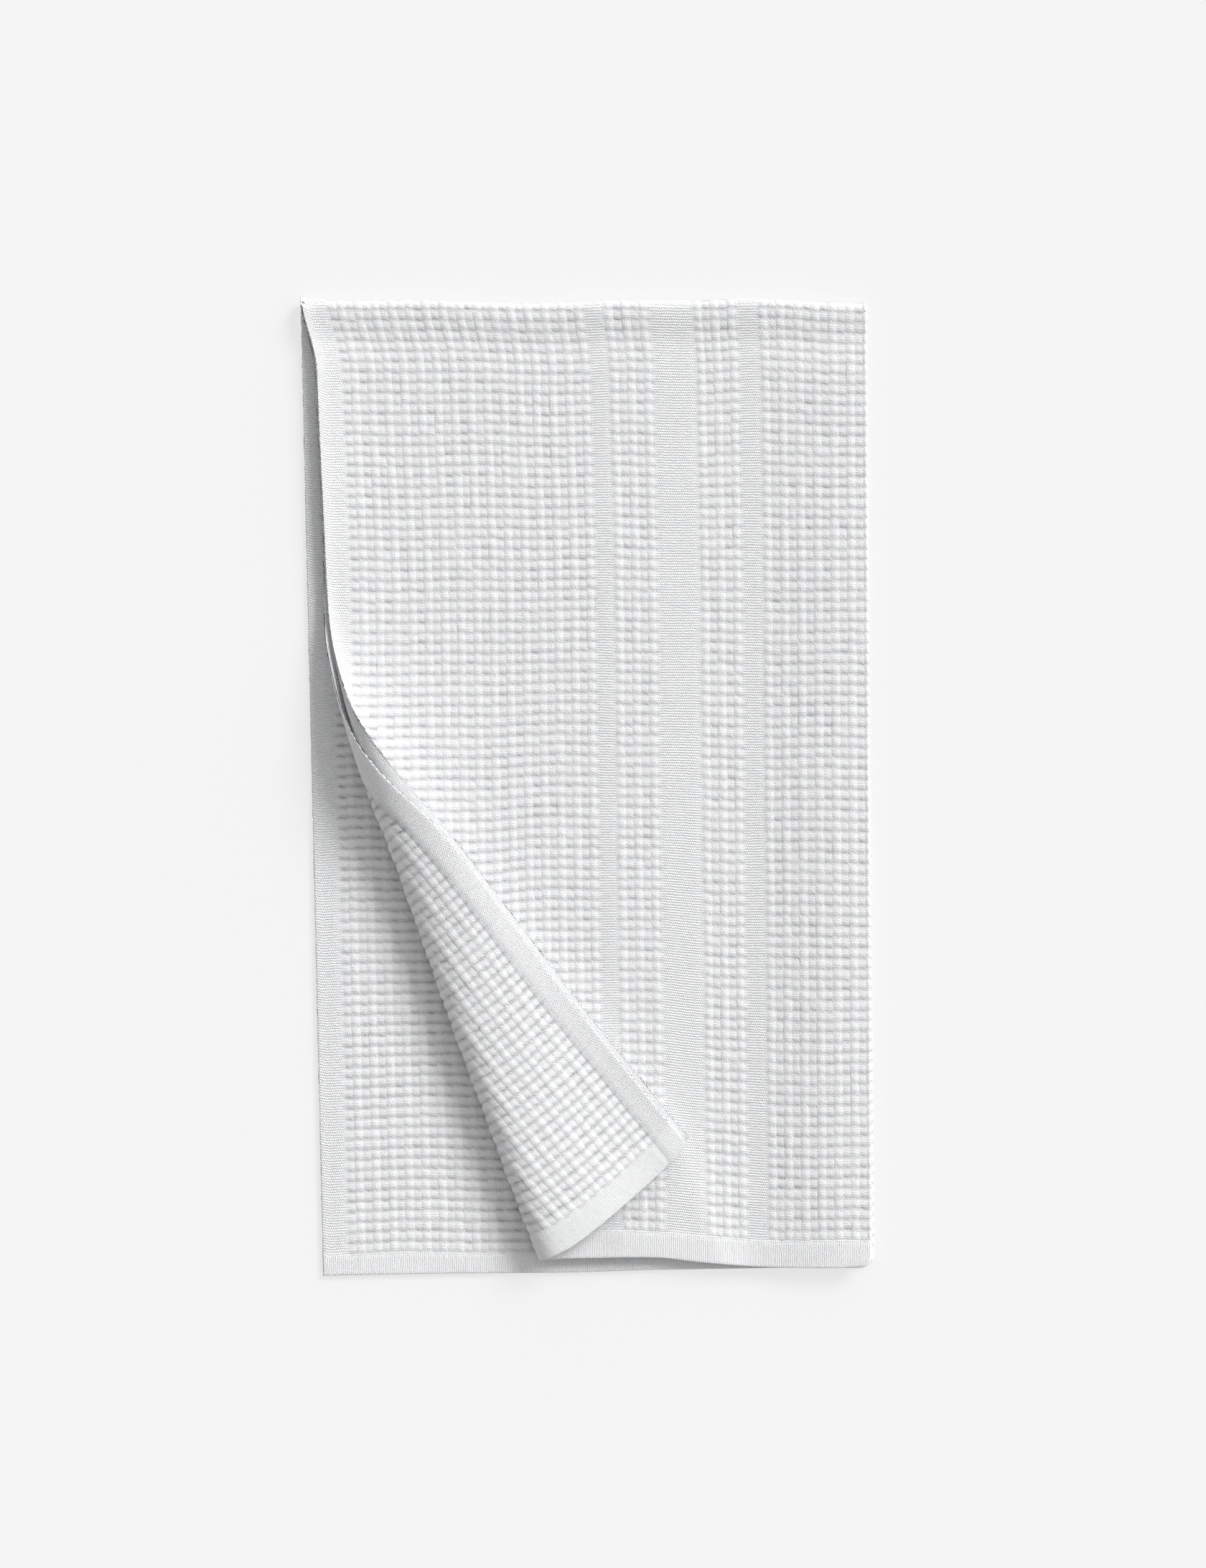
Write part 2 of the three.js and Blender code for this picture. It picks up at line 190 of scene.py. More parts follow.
def middlePoint(q, s):  # the surface midway between the two layers of the folded pair
    x, y, angle, beyond = layPlace(q, s)
    flat = np.stack([x, y, pairHalf + topRadius + topRadius * np.sin(angle)], -1)

    down, off = creasePlace(x, y)
    radius = section("radius", down)
    w = off - section("shift", down)
    halfTurn = math.pi / 2 * radius
    roll = np.clip((w + halfTurn) / radius, 0, math.pi)
    flap = np.maximum(0, w - halfTurn)
    turned = np.where(w > -halfTurn, -halfTurn + radius * np.sin(roll) - flap, w)
    resting = 2 * pairHalf + sheet["gap"] + corner["clearance"]
    settle = np.exp(-((flap / (corner["settleRadii"] * radius + corner["settleMore"])) ** 2))
    above = np.where(flap > 0, resting + (2 * radius - resting) * settle, radius * (1 - np.cos(roll)))
    inward = np.where(flap > 0, radius + flap, radius * (1 - np.sin(np.maximum(roll, math.pi / 2))))
    fade = np.exp(-((np.maximum(0, inward - corner["puffHold"]) / corner["puffFade"]) ** 2))
    above = above + section("puff", down) * (1 - np.exp(-inward / section("reach", down))) * fade

    x = x + (turned - w) * offCrease[0]
    y = y + (turned - w) * offCrease[1]
    loft = 2 * lay["topLoft"] * (1 - ease(beyond / lay["topFade"]))
    curl = section("lift", down) * np.exp(-q * pairWidth / corner["liftReach"])
    loose = rampHeight(x, y) + looseHeight(x, y) + curl
    z = 3 * pairHalf + sheet["gap"] + loft + ease(beyond / lay["loftOver"]) * loose + above
    return np.where((s < topArc)[..., None], flat, np.stack([x, y, z], -1))


def clothPoint(u, s, t):  # t goes through the thickness, positive on the outer face
    bend = np.clip((u - flatWidth) / bendRadius, 0, math.pi)
    across = flatWidth + (bendRadius + t) * np.sin(bend)
    across = np.where(u < flatWidth, u, across)
    across = np.where(u > sheet["width"] - flatWidth, sheet["width"] - u, across)
    offset = (bendRadius + t) * np.cos(bend)
    q = across / pairWidth
    x, y, _, _ = layPlace(q, s)
    down, _ = creasePlace(x, y)
    under = (u > halfWidth) & (s > 0)
    q = q + under * section("slip", down) / pairWidth * (1 - ease(across / corner["slipReach"]))
    offset = offset - under * section("splay", down) * np.exp(-((across / corner["splayReach"]) ** 2))
    curled = (u < halfWidth) & (s > 0)
    offset = offset + curled * lay["edgeCurl"] * np.exp(-across / lay["curlReach"])
    point = middlePoint(q, s)
    alongQ = middlePoint(q + lay["probeAcross"], s) - point
    alongS = middlePoint(q, s + lay["probeAlong"]) - point
    outward = np.cross(alongS, alongQ)
    outward /= np.linalg.norm(outward, axis=-1, keepdims=True)
    return point + outward * offset[..., None]


# The weave: waffle columns between plain stripes, in rows, with plain selvedges and hems

weave = {
    "zones": [  # from the selvedge: where the zone ends, its waffle columns (0 is plain), its steps
        (24.0, 0, 3), (252.0, 30, 30), (271.0, 0, 3), (310.0, 5, 5),
        (351.5, 0, 5), (389.5, 5, 5), (410.5, 0, 3), (511.9, 13, 13),
    ],
    "frontHem": 25.0,
    "backHem": 19.0,
    "frontRows": 90,
    "columnParts": (0.0, 0.13, 0.5, 0.87),
    "frontParts": (0.0, 0.11, 0.34, 0.62, 0.88),
    "backParts": (0.0, 0.13, 0.45, 0.84),
    "edgeLines": (0.0, 0.45, 1.3),  # lines that round the cloth's edges
    "edgeClear": 3.0, "foldClear": 0.5, "hemClear": 0.8,  # other lines keep off by these
    "hemStep": 3.0, "hemFirst": 0.4, "edgeRound": 1.3, "edgeThin": 0.28,
    "rowGroove": 0.68, "columnGroove": 0.72, "pit": 0.6,  # pits lie between every second column's cells
    "crown": 0.3, "plainSunk": 0.45, "nap": 0.03,
    "bandCrease": 0.9, "bandHalf": 1.5, "bandFrom": 330.0, "bandOver": 60.0,  # beside the flap's selvedge
    "rowStray": 0.3, "columnStray": 0.22, "skew": 0.8,  # how far the grooves stray from cell to cell
    "unevenRows": 0.3, "rowLimits": (0.35, 1.8),  # how much deeper or shallower a cell's grooves are
    "unevenColumns": 0.24, "columnLimits": (0.2, 1.9),
    "cellRise": 0.08, "edgeStray": 0.22,
    "freeAcross": 8.0, "freeAlong": 10.0, "foldCalm": 6.0,  # the rows run straight at the edges and the fold
    "waver": 0.7, "waverLong": (47.0, 61.0), "waverShort": (19.5, 83.0),
    "bow": 2.4, "bowReach": 34.0, "foldBow": 0.6, "foldBowReach": 45.0,
    "seed": 41,
}
rowPitch = (sheet["frontLength"] - weave["frontHem"]) / weave["frontRows"]
backRows = round((sheet["backLength"] - weave["backHem"]) / rowPitch)
draw = np.random.default_rng(weave["seed"])


def columnLines():  # place, phase in cells and waffle share of each line across the half width
    places, phases, waffle = [], [], []
    start, phase = 0.0, 0
    for end, columns, steps in weave["zones"]:
        pitch = (end - start) / steps
        parts = weave["columnParts"] if columns else (0.0, 0.5)
        for k in range(steps):
            for part in parts:
                places.append(start + (k + part) * pitch)
                phases.append(phase + k + part)
                waffle.append(1.0 if columns or (k == 0 and part == 0 and start > 0) else 0.0)
        start, phase = end, phase + steps
    onFold = [flatWidth + k * (halfWidth - flatWidth) / 3 for k in range(3)]
    places, phases, waffle = map(np.array, (places, phases, waffle))
    nearEdge = (places > 0) & (places < weave["edgeClear"])
    keep = ~nearEdge & (places < flatWidth - weave["foldClear"])
    allPlaces = np.sort(np.concatenate([places[keep], weave["edgeLines"][1:], onFold, [halfWidth]]))
    return allPlaces, np.interp(allPlaces, places, phases), np.interp(allPlaces, places, waffle)


def rowLines(length, rows, parts):  # the same along the cloth, from the top fold to a hem
    places, phases, hem = [], [], []
    for k in range(rows):
        for part in parts:
            places.append((k + part) * rowPitch)
            phases.append(k + part)
            hem.append(0.0)
    hemStart = rows * rowPitch
    steps = max(4, round((length - hemStart) / weave["hemStep"]))
    ends = [length - e for e in reversed(weave["edgeLines"])]
    for k in range(steps):
        place = hemStart + (length - hemStart) * k / steps
        if place < ends[0] - weave["hemClear"]:
            places.append(place)
            phases.append(place / rowPitch)
            hem.append(weave["hemFirst"] if k == 0 else 1.0)
    phases += [e / rowPitch for e in ends]
    hem += [1.0] * len(ends)
    return np.array(places + ends), np.array(phases), np.array(hem)


halfPlace, halfPhase, halfWaffle = columnLines()
foldPhase = halfPhase[-1]
lineU = np.concatenate([halfPlace, sheet["width"] - halfPlace[-2::-1]])
linePhase = np.concatenate([halfPhase, 2 * foldPhase - halfPhase[-2::-1]])
lineWaffle = np.concatenate([halfWaffle, halfWaffle[-2::-1]])
frontPlace, frontPhase, frontHem = rowLines(sheet["frontLength"], weave["frontRows"], weave["frontParts"])
backPlace, backPhase, backHem = rowLines(sheet["backLength"], backRows, weave["backParts"])
rowS = np.concatenate([frontPlace[::-1], -backPlace[1:]])
rowPhase = np.concatenate([frontPhase[::-1], -backPhase[1:]])
rowHem = np.concatenate([frontHem[::-1], backHem[1:]])
foldLine, foldRow = len(halfPlace) - 1, len(frontPlace) - 1
tiny = 1e-6
onGroove = np.abs(linePhase - np.round(linePhase)) < tiny
print("lines across", len(lineU), "rows", len(rowS))


def perCell(spread):  # a seeded value for each cell: steps from column to column, blends between rows
    grid = draw.normal(0, spread, (weave["frontRows"] + backRows + 16, int(2 * foldPhase) + 8))
    column = np.floor(linePhase + tiny).astype(int)
    before = np.where(onGroove, np.maximum(column - 1, 0), column)
    row = np.floor(rowPhase + tiny).astype(int)
    f = (rowPhase - row)[:, None]
    row = row + backRows + 6

    def pick(r):
        return (grid[r][:, column] + grid[r][:, before]) / 2

    return pick(row) * (1 - f) + pick(row + 1) * f


def cellDip(phase):  # 0 on the middle of a cell, 1 on the groove between two cells
    return (2 * (phase - np.floor(phase)) - 1) ** 2


def rowWaver(u, s):  # the rows aren't quite straight across the cloth
    longWave = np.sin(u / weave["waverLong"][0] + 0.5 * np.sin(s / weave["waverLong"][1]))
    shortWave = 0.7 * np.sin(u / weave["waverShort"][0] + s / weave["waverShort"][1] + 1.3)
    return weave["waver"] * (longWave + shortWave)


def rowBow(edgeDistance, foldDistance):  # and they bend near the selvedges and the side fold
    atFold = weave["foldBow"] * np.exp(-foldDistance / weave["foldBowReach"])
    return weave["bow"] * (np.exp(-edgeDistance / weave["bowReach"]) + atFold)


u, s = np.meshgrid(lineU, rowS)
edgeU = np.minimum(u, sheet["width"] - u)
edgeS = np.where(s > 0, sheet["frontLength"] - s, sheet["backLength"] + s)
foldU = np.abs(u - halfWidth)
free = ease(edgeU / weave["freeAcross"]) * ease(edgeS / weave["freeAlong"])
nearFold = ease(foldU / weave["foldCalm"])
strayS = perCell(weave["rowStray"])
alongCell = linePhase - np.floor(linePhase + tiny)
strayS = strayS + weave["skew"] * np.where(alongCell < tiny, 0, alongCell - 0.5)
strayS = strayS * lineWaffle * (1 - rowHem)[:, None]
strayU = perCell(weave["columnStray"]) * (1 - rowHem)[:, None]
edgeStray = draw.normal(0, weave["edgeStray"], u.shape) * (edgeU < 0.1)
clothS = s + (rowWaver(u, s) + strayS * nearFold + np.sign(s) * rowBow(edgeU, foldU)) * free
clothU = u + strayU * free * nearFold + edgeStray * np.sign(halfWidth - u)

waffleShare = lineWaffle * (1 - rowHem)[:, None]
unevenS = np.clip(1 + perCell(weave["unevenRows"]), *weave["rowLimits"])
unevenU = np.clip(1 + perCell(weave["unevenColumns"]), *weave["columnLimits"])
cellRise = perCell(weave["cellRise"])
sunken = np.where(onGroove, 0.5, np.floor(linePhase) % 2)  # every second column of cells lies lower
dipS = cellDip(rowPhase)[:, None]
dipU = cellDip(linePhase) * unevenU
pit = dipS ** 2 * unevenS * sunken * (1 - cellDip(linePhase))
grooves = weave["rowGroove"] * dipS * unevenS + weave["columnGroove"] * dipU + weave["pit"] * pit
crowns = weave["crown"] * (1 - 2 * sunken) * (1 - dipS) + cellRise
relief = waffleShare * (crowns - grooves)
relief -= weave["plainSunk"] * (1 - waffleShare) * (1 - rowHem)[:, None]
relief += draw.normal(0, weave["nap"], u.shape) * free
bandPlace = sheet["width"] - weave["zones"][0][0]
bandEdge = np.exp(-(((u - bandPlace) / weave["bandHalf"]) ** 2))
bandEdge = bandEdge * ease((s - weave["bandFrom"]) / weave["bandOver"])
relief -= weave["bandCrease"] * bandEdge

# Painted shade: the colour is darkened in the waffle's grooves and pits, on the lower columns of cells and
# in the crease beside the flap's selvedge, where shade falls
paintedShadeShare = {"rows": 0.14, "columns": 0.12, "pits": 0.7, "sunken": 0.1, "most": 1.5, "band": 0.6}
paintedShade = paintedShadeShare["rows"] * dipS ** 3 * unevenS + paintedShadeShare["columns"] * dipU ** 3
paintedShade = paintedShade + paintedShadeShare["pits"] * pit + paintedShadeShare["sunken"] * sunken
paintedShade = waffleShare * np.clip(paintedShade, 0, paintedShadeShare["most"]) + paintedShadeShare["band"] * bandEdge

half = sheet["thickness"] / 2
rounded = np.sqrt(np.clip(np.minimum(edgeU, edgeS) / weave["edgeRound"], 0, 1))
rounded = weave["edgeThin"] + (1 - weave["edgeThin"]) * rounded
outerPoints = clothPoint(clothU, clothS, (half + relief * free) * rounded)
outerPoints[..., 2] = np.maximum(outerPoints[..., 2], 0)
innerPoints = clothPoint(clothU, clothS, -half * rounded)
print("laid", outerPoints.shape, outerPoints.reshape(-1, 3).min(0), outerPoints.reshape(-1, 3).max(0))


def gridNormals(points):
    across, along = points[:, 1:] - points[:, :-1], points[1:] - points[:-1]
    faces = np.cross(along[:, :-1] + along[:, 1:], across[:-1] + across[1:])
    normals = np.zeros_like(points)
    normals[:-1, :-1] += faces
    normals[1:, :-1] += faces
    normals[:-1, 1:] += faces
    normals[1:, 1:] += faces
    return -normals / np.maximum(np.linalg.norm(normals, axis=-1, keepdims=True), 1e-12)


outerNormals = gridNormals(outerPoints)
if outerNormals[foldRow // 2, foldLine // 2, 2] < 0:
    outerNormals = -outerNormals
innerNormals = -outerNormals
cutEdges = [  # each edge of the grid and the second line inside it
    (np.s_[:, 0], np.s_[:, 2]), (np.s_[:, -1], np.s_[:, -3]),
    (np.s_[0], np.s_[2]), (np.s_[-1], np.s_[-3]),
]
for edge, inside in cutEdges:
    outward = outerPoints[edge] - outerPoints[inside]
    outward /= np.linalg.norm(outward, axis=-1, keepdims=True)
    for normals in (outerNormals, innerNormals):  # makes the edge look round
        turnedOut = 0.5 * normals[edge] + outward
        normals[edge] = turnedOut / np.linalg.norm(turnedOut, axis=-1, keepdims=True)

lowerRows, upperRows = (0, foldRow // 2), (foldRow // 2, foldRow)
behindRows = (foldRow, len(rowS) - 1)
firstLines, turnedLines = (0, foldLine), (foldLine, len(lineU) - 1)
pieces = {  # rows and lines of the grid that each piece takes, and the inner face's coarser steps
    "clothFrontLower": {"rows": lowerRows, "lines": firstLines, "rowStep": 5, "lineStep": 1},
    "clothFrontUpper": {"rows": upperRows, "lines": firstLines, "rowStep": 5, "lineStep": 1},
    "clothTurnedLower": {"rows": lowerRows, "lines": turnedLines, "rowStep": 5, "lineStep": 1},
    "clothTurnedUpper": {"rows": upperRows, "lines": turnedLines, "rowStep": 5, "lineStep": 1},
    "clothBack": {"rows": behindRows, "lines": turnedLines, "rowStep": 4, "lineStep": 4},
    "clothBase": {"rows": behindRows, "lines": firstLines, "rowStep": 4, "lineStep": 4},
}

clothKind = waffleShare - rowHem[:, None]  # 1 in the waffle, 0 in plain cloth, -1 in a hem
weavePlace = np.stack(np.broadcast_arrays(linePhase, rowPhase[:, None], clothKind), -1)
# the second field carries that painted shade of grooves, pits, lower columns and the crease
weaveFields = [
    ("weavePlace", "FLOAT_VECTOR", "vector", weavePlace),
    ("paintedWeaveShade", "FLOAT", "value", paintedShade),
]


def steppedRange(first, last, step):
    return list(range(first, last, step)) + [last]


def clothPiece(name, rows, lines, rowStep, lineStep):
    rowsOut = list(range(rows[0], rows[1] + 1))
    linesOut = list(range(lines[0], lines[1] + 1))
    rowsIn, linesIn = steppedRange(*rows, rowStep), steppedRange(*lines, lineStep)
    gridOut, gridIn = np.ix_(rowsOut, linesOut), np.ix_(rowsIn, linesIn)
    outCount = len(rowsOut) * len(linesOut)
    idOut = np.arange(outCount).reshape(len(rowsOut), len(linesOut))
    idIn = outCount + np.arange(len(rowsIn) * len(linesIn)).reshape(len(rowsIn), len(linesIn))
    points = np.concatenate([outerPoints[gridOut].reshape(-1, 3), innerPoints[gridIn].reshape(-1, 3)])
    normals = np.concatenate([outerNormals[gridOut].reshape(-1, 3), innerNormals[gridIn].reshape(-1, 3)])

    def quads(ids):
        return np.stack([ids[:-1, :-1], ids[1:, :-1], ids[1:, 1:], ids[:-1, 1:]], -1).reshape(-1, 4)

    faces = quads(idOut)[:, ::-1].tolist() + quads(idIn).tolist()

    def rim(outer, inner, placesOut, placesIn, turnRound):
        at = {place: k for k, place in enumerate(placesOut)}
        for k in range(len(placesIn) - 1):
            a, b = at[placesIn[k]], at[placesIn[k + 1]]
            ring = [int(i) for i in outer[a:b + 1]] + [int(inner[k + 1]), int(inner[k])]
            faces.append(ring[::-1] if turnRound else ring)

    rim(idOut[0], idIn[0], linesOut, linesIn, False)
    rim(idOut[-1], idIn[-1], linesOut, linesIn, True)
    rim(idOut[:, 0], idIn[:, 0], rowsOut, rowsIn, True)
    rim(idOut[:, -1], idIn[:, -1], rowsOut, rowsIn, False)

    mesh = bpy.data.meshes.new(name)
    mesh.from_pydata((points / sheet["perMetre"]).tolist(), [], faces)
    for label, kind, field, values in weaveFields:
        picked = np.concatenate([values[gridOut].ravel(), values[gridIn].ravel()])
        attribute = mesh.attributes.new(label, kind, "POINT")
        attribute.data.foreach_set(field, picked.astype(np.float32))
    mesh.shade_smooth()
    mesh.normals_split_custom_set_from_vertices(normals.tolist())
    mesh.update()
    piece = bpy.data.objects.new(name, mesh)
    bpy.context.scene.collection.objects.link(piece)
    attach(piece, "root")
    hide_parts("cloth_sheet")
    print(name, len(points), "points", sum(len(f) - 2 for f in faces), "triangles")
    return piece


# Materials

cotton = {
    # the white is the cotton's own colour; the shade colour is mixed in as painted shade
    "white": (0.97, 0.972, 0.98, 1), "shade": (0.4, 0.405, 0.43, 1),
    "roughness": 0.95, "sheen": 0.2, "specular": 0.2,
    "ribs": 4.0, "stitches": 4.0, "twist": 0.8,  # in each waffle cell
    "paintedGrooveShade": 0.42, "yarnShade": 0.18, "patchy": 0.05, "patchScale": 0.23,
    "bump": 0.0008,
}

yarn = {  # scales, threads and slants for one waffle cell, and heights as shares of a whole stitch
    "strayScale": 1.9, "strayDetail": 4, "strayRoughness": 0.65, "rowStray": 0.2,
    "stitchDeep": 0.55, "stitchBase": 0.35,
    "hemThreads": 4.4, "threadDeep": 0.45, "threadBase": 0.25,
    "slantRow": -3.8, "slantColumn": 4.3, "slantStray": 2.6,
    "gapShift": -0.06, "gapPower": 1.6, "streakDeep": 0.2, "streakBase": 0.5,
    "fuzzScale": 9.0, "fuzzDetail": 3, "fuzz": 1.0,
}


def addNode(tree, kind, place, **settings):
    node = tree.nodes.new(kind)
    node.location = place
    for key, value in settings.items():
        setattr(node, key, value)
    return node


def maths(tree, operation, place, *values, clamp=False):
    node = addNode(tree, "ShaderNodeMath", place, operation=operation, use_clamp=clamp)
    for socket, value in zip(node.inputs, values):
        if isinstance(value, bpy.types.NodeSocket):
            tree.links.new(value, socket)
        else:
            socket.default_value = value
    return node.outputs[0]


def wave(tree, place, phase):  # 0 at whole numbers, 1 midway between them
    x, y = place
    turn = maths(tree, "COSINE", (x + 150, y), maths(tree, "MULTIPLY", (x, y), phase, 2 * math.pi))
    return maths(tree, "MULTIPLY_ADD", (x + 300, y), turn, -0.5, 0.5)


def blendedBy(tree, place, share, first, second):
    x, y = place
    step = maths(tree, "SUBTRACT", (x - 100, y + 50), second, first)
    return maths(tree, "MULTIPLY_ADD", place, share, step, first)


def noiseNode(tree, place, scale, detail, vector):
    noise = addNode(tree, "ShaderNodeTexNoise", place, noise_dimensions="2D")
    noise.inputs["Scale"].default_value = scale
    noise.inputs["Detail"].default_value = detail
    tree.links.new(vector, noise.inputs["Vector"])
    return noise


def yarnGroup():  # the yarn's ribs and stitches, and its slanting turns between the rows of cells
    group = bpy.data.node_groups.new("wovenYarn", "ShaderNodeTree")
    face = group.interface
    face.new_socket("Place", in_out="INPUT", socket_type="NodeSocketVector")
    for name in ("Ribs", "Stitches", "Twist"):
        face.new_socket(name, in_out="INPUT", socket_type="NodeSocketFloat")
    for name in ("Height", "Shade"):
        face.new_socket(name, in_out="OUTPUT", socket_type="NodeSocketFloat")
    start = addNode(group, "NodeGroupInput", (-2000, 0))
    end = addNode(group, "NodeGroupOutput", (1000, 0))
    split = addNode(group, "ShaderNodeSeparateXYZ", (-1800, 0))
    group.links.new(start.outputs["Place"], split.inputs[0])
    column, row, kind = split.outputs  # the kind is 1 in the waffle, 0 in plain cloth, -1 in a hem
    waffle = maths(group, "MAXIMUM", (-1600, 50), kind, 0.0)
    hem = maths(group, "MAXIMUM", (-1450, 0), maths(group, "MULTIPLY", (-1600, -50), kind, -1.0), 0.0)
    noise = noiseNode(group, (-1800, -300), yarn["strayScale"], yarn["strayDetail"], start.outputs["Place"])
    noise.inputs["Roughness"].default_value = yarn["strayRoughness"]
    stray = maths(group, "SUBTRACT", (-1600, -300), noise.outputs["Fac"], 0.5)

    rowAt = maths(group, "MULTIPLY_ADD", (-1400, -100), stray, yarn["rowStray"], row)
    ribAt = maths(group, "MULTIPLY", (-1250, -100), rowAt, start.outputs["Ribs"])
    rib = wave(group, (-1100, -100), ribAt)
    brick = maths(group, "MULTIPLY", (-950, 150), maths(group, "FLOOR", (-1100, 150), ribAt), 0.5)
    stitchAt = maths(group, "MULTIPLY_ADD", (-800, 150), column, start.outputs["Stitches"], brick)
    stitch = wave(group, (-650, 150), stitchAt)
    stitch = maths(group, "MULTIPLY_ADD", (-250, 150), stitch, yarn["stitchDeep"], yarn["stitchBase"])
    plain = maths(group, "MULTIPLY", (-100, 100), rib, stitch)
    threadAt = maths(group, "MULTIPLY_ADD", (-800, 0), column, yarn["hemThreads"], stray)
    thread = wave(group, (-650, 0), threadAt)
    turned = maths(group, "MULTIPLY_ADD", (-200, 0), thread, yarn["threadDeep"], yarn["threadBase"])
    plain = blendedBy(group, (0, 0), hem, plain, turned)

    acrossCell = maths(group, "MULTIPLY", (-1400, 450), column, yarn["slantColumn"])
    slant = maths(group, "MULTIPLY_ADD", (-1250, 450), row, yarn["slantRow"], acrossCell)
    turnAt = maths(group, "MULTIPLY_ADD", (-1100, 450), stray, yarn["slantStray"], slant)
    turns = maths(group, "MULTIPLY", (-450, 450), wave(group, (-950, 450), turnAt), start.outputs["Twist"])
    gapAt = maths(group, "ADD", (-1100, 650), row, yarn["gapShift"])
    nearGap = maths(group, "SUBTRACT", (-450, 650), 1.0, wave(group, (-950, 650), gapAt))
    nearGap = maths(group, "POWER", (-300, 650), nearGap, yarn["gapPower"])
    streaks = maths(group, "MULTIPLY_ADD", (-300, 300), rib, yarn["streakDeep"], yarn["streakBase"])
    cell = blendedBy(group, (-100, 450), nearGap, streaks, turns)
    mixed = blendedBy(group, (150, 250), waffle, plain, cell)
    fuzz = noiseNode(group, (-300, -300), yarn["fuzzScale"], yarn["fuzzDetail"], start.outputs["Place"])
    loose = maths(group, "SUBTRACT", (-100, -300), fuzz.outputs["Fac"], 0.5)
    height = maths(group, "MULTIPLY_ADD", (400, 200), loose, yarn["fuzz"], mixed)
    group.links.new(height, end.inputs["Height"])
    # the Shade output is painted shade: the lower the yarn lies, the darker its colour
    group.links.new(maths(group, "SUBTRACT", (600, -100), 1.0, height, clamp=True), end.inputs["Shade"])
    return group


def cottonMaterial(wovenYarn):
    material = bpy.data.materials.new("waffleCotton")
    material.use_nodes = True
    tree = material.node_tree
    shader = tree.nodes["Principled BSDF"]
    shader.inputs["Roughness"].default_value = cotton["roughness"]
    shader.inputs["Sheen Weight"].default_value = cotton["sheen"]
    shader.inputs["Specular IOR Level"].default_value = cotton["specular"]
    place = addNode(tree, "ShaderNodeAttribute", (-1500, 200), attribute_name="weavePlace")
    shades = addNode(tree, "ShaderNodeAttribute", (-1500, -200), attribute_name="paintedWeaveShade")
    woven = addNode(tree, "ShaderNodeGroup", (-1200, 200), node_tree=wovenYarn)
    for socket in ("Ribs", "Stitches", "Twist"):
        woven.inputs[socket].default_value = cotton[socket.lower()]
    tree.links.new(place.outputs["Vector"], woven.inputs["Place"])
    patches = noiseNode(tree, (-1200, -450), cotton["patchScale"], 2, place.outputs["Vector"])
    # painted shade of the grooves and of the low yarn, plus a random patchy tone of the cotton, mixes the
    # white towards the shade colour
    shadeAndTone = maths(tree, "MULTIPLY", (-1000, -200), shades.outputs["Fac"], cotton["paintedGrooveShade"])
    shadeAndTone = maths(tree, "MULTIPLY_ADD", (-850, -100), woven.outputs["Shade"], cotton["yarnShade"], shadeAndTone)
    patchy = maths(tree, "MULTIPLY", (-850, -300), patches.outputs["Fac"], cotton["patchy"])
    shadeAndTone = maths(tree, "ADD", (-700, -200), patchy, shadeAndTone, clamp=True)
    blend = addNode(tree, "ShaderNodeMix", (-500, 100), data_type="RGBA")
    blend.inputs["A"].default_value = cotton["white"]
    blend.inputs["B"].default_value = cotton["shade"]
    tree.links.new(shadeAndTone, blend.inputs["Factor"])
    tree.links.new(blend.outputs["Result"], shader.inputs["Base Color"])
    bump = addNode(tree, "ShaderNodeBump", (-400, -300))
    bump.inputs["Distance"].default_value = cotton["bump"]
    tree.links.new(woven.outputs["Height"], bump.inputs["Height"])
    tree.links.new(bump.outputs["Normal"], shader.inputs["Normal"])
    return material


waffleCotton = cottonMaterial(yarnGroup())
for name, part in pieces.items():
    clothPiece(name, **part).data.materials.append(waffleCotton)

# The floor, the light and the camera

studio = {
    "floorSize": 9.0, "floorColour": (0.2, 0.2, 0.2, 1), "floorGlow": 0.69, "floorDrop": 0.0003,
    "sky": 0.28,
    "key": {"towards": (1.5, 1.5, 1.6), "spread": math.radians(23), "strength": 2.5},
    "window": {"towards": (1.0, 1.0, 1.5), "spread": math.radians(110), "strength": 1.22},
}


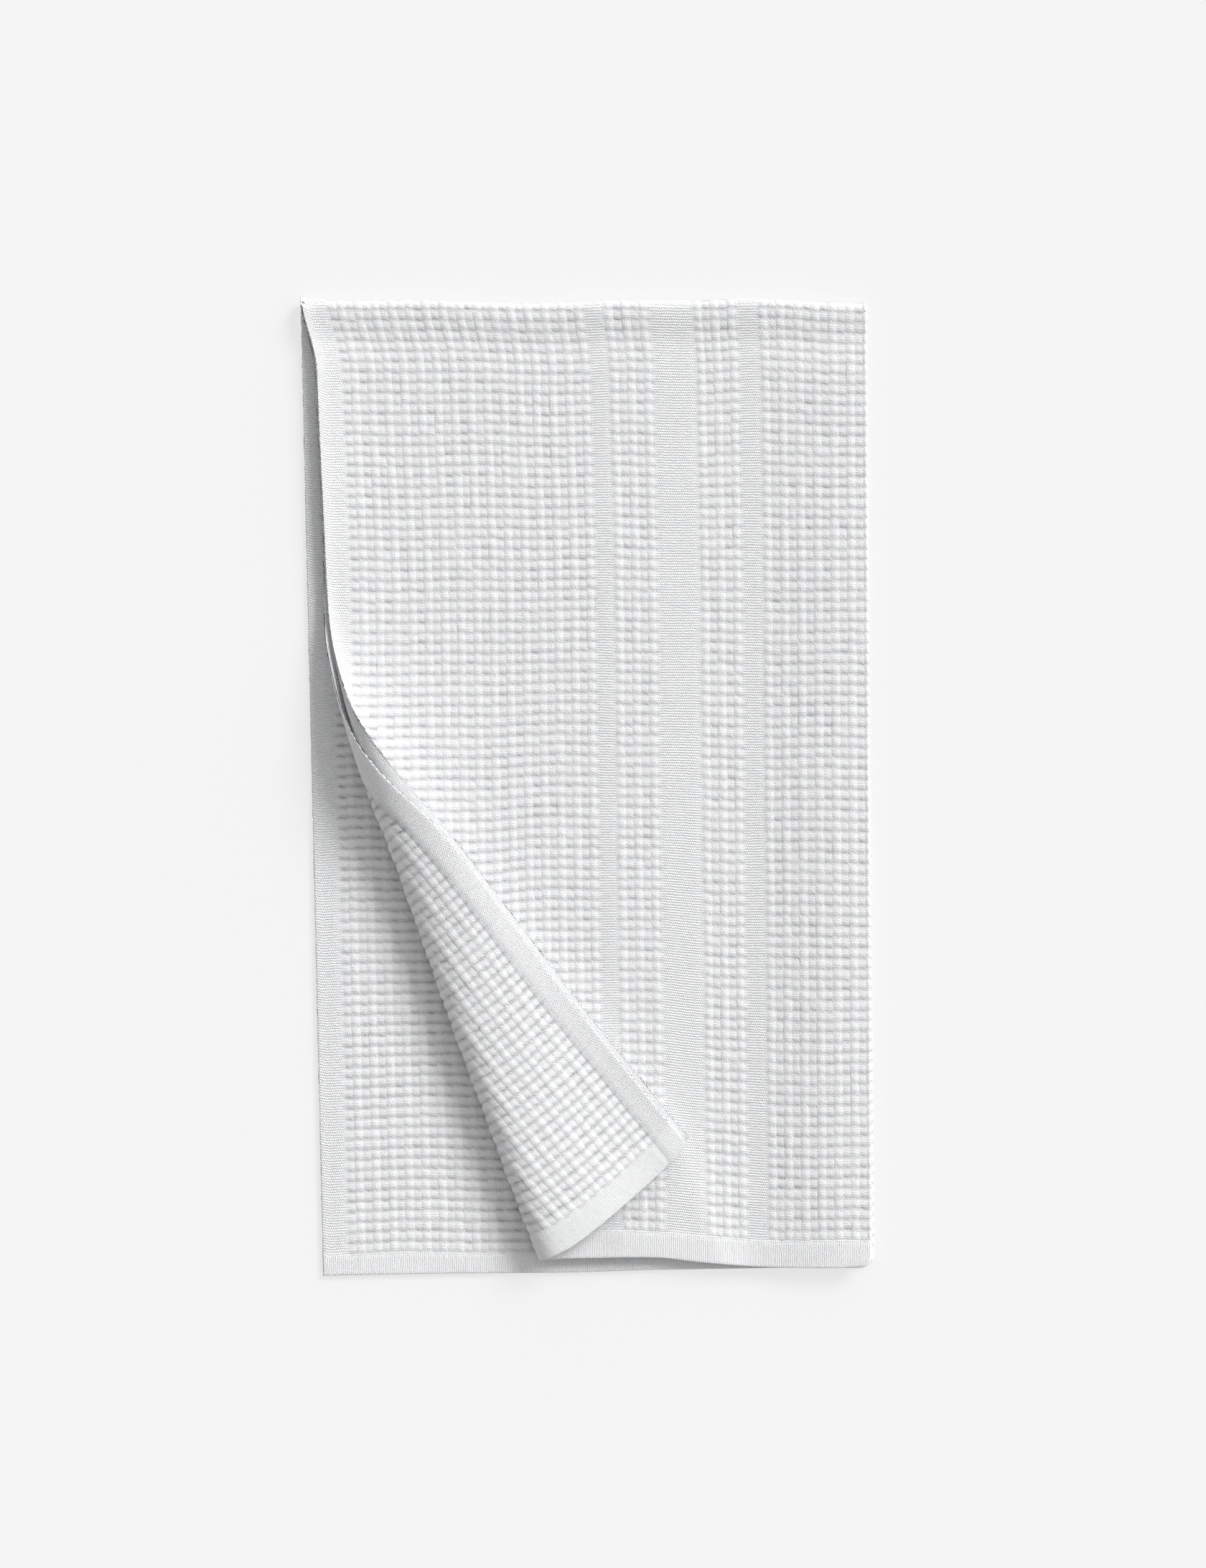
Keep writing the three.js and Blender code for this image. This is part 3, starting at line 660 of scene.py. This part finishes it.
def floorPiece():
    reach = studio["floorSize"] / 2
    corners = [(-reach, -reach), (reach, -reach), (reach, reach), (-reach, reach)]
    mesh = bpy.data.meshes.new("floor")
    mesh.from_pydata([(x, y, -studio["floorDrop"]) for x, y in corners], [], [(0, 1, 2, 3)])
    floor = bpy.data.objects.new("floor", mesh)
    bpy.context.scene.collection.objects.link(floor)
    material = bpy.data.materials.new("floorPaper")
    material.use_nodes = True
    shader = material.node_tree.nodes["Principled BSDF"]
    shader.inputs["Base Color"].default_value = studio["floorColour"]
    shader.inputs["Roughness"].default_value = 1
    shader.inputs["Emission Color"].default_value = (1, 1, 1, 1)
    shader.inputs["Emission Strength"].default_value = studio["floorGlow"]
    mesh.materials.append(material)


def softLight(name, towards, spread, strength):
    light = bpy.data.lights.new(name, "SUN")
    light.angle = spread
    light.energy = strength
    holder = bpy.data.objects.new(name, light)
    holder.location = towards
    holder.rotation_euler = Vector(towards).to_track_quat("Z", "Y").to_euler()
    bpy.context.scene.collection.objects.link(holder)


floorPiece()
softLight("keyLight", **studio["key"])
softLight("windowLight", **studio["window"])
world = bpy.data.worlds.new("studio")
world.use_nodes = True
world.node_tree.nodes["Background"].inputs["Color"].default_value = (1, 1, 1, 1)
world.node_tree.nodes["Background"].inputs["Strength"].default_value = studio["sky"]
bpy.context.scene.world = world
bpy.context.scene.view_settings.view_transform = "Standard"
print("studio lit")

view = {
    "frameHeight": 1.4104,  # metres of the cloth's plane that the picture is high
    "distance": 2.7, "planeHeight": 0.01,
    "x": 0.0140, "y": 0.0029,
    "sensorHeight": 24, "clipEnd": 50,
}
camera = bpy.data.cameras.new("camera")
camera.sensor_fit = "VERTICAL"
camera.sensor_height = view["sensorHeight"]
camera.lens = view["sensorHeight"] * view["distance"] / view["frameHeight"]
camera.clip_end = view["clipEnd"]
cameraHolder = bpy.data.objects.new("camera", camera)
cameraHolder.location = (view["x"], view["y"], view["distance"] + view["planeHeight"])
bpy.context.scene.collection.objects.link(cameraHolder)
bpy.context.scene.camera = cameraHolder
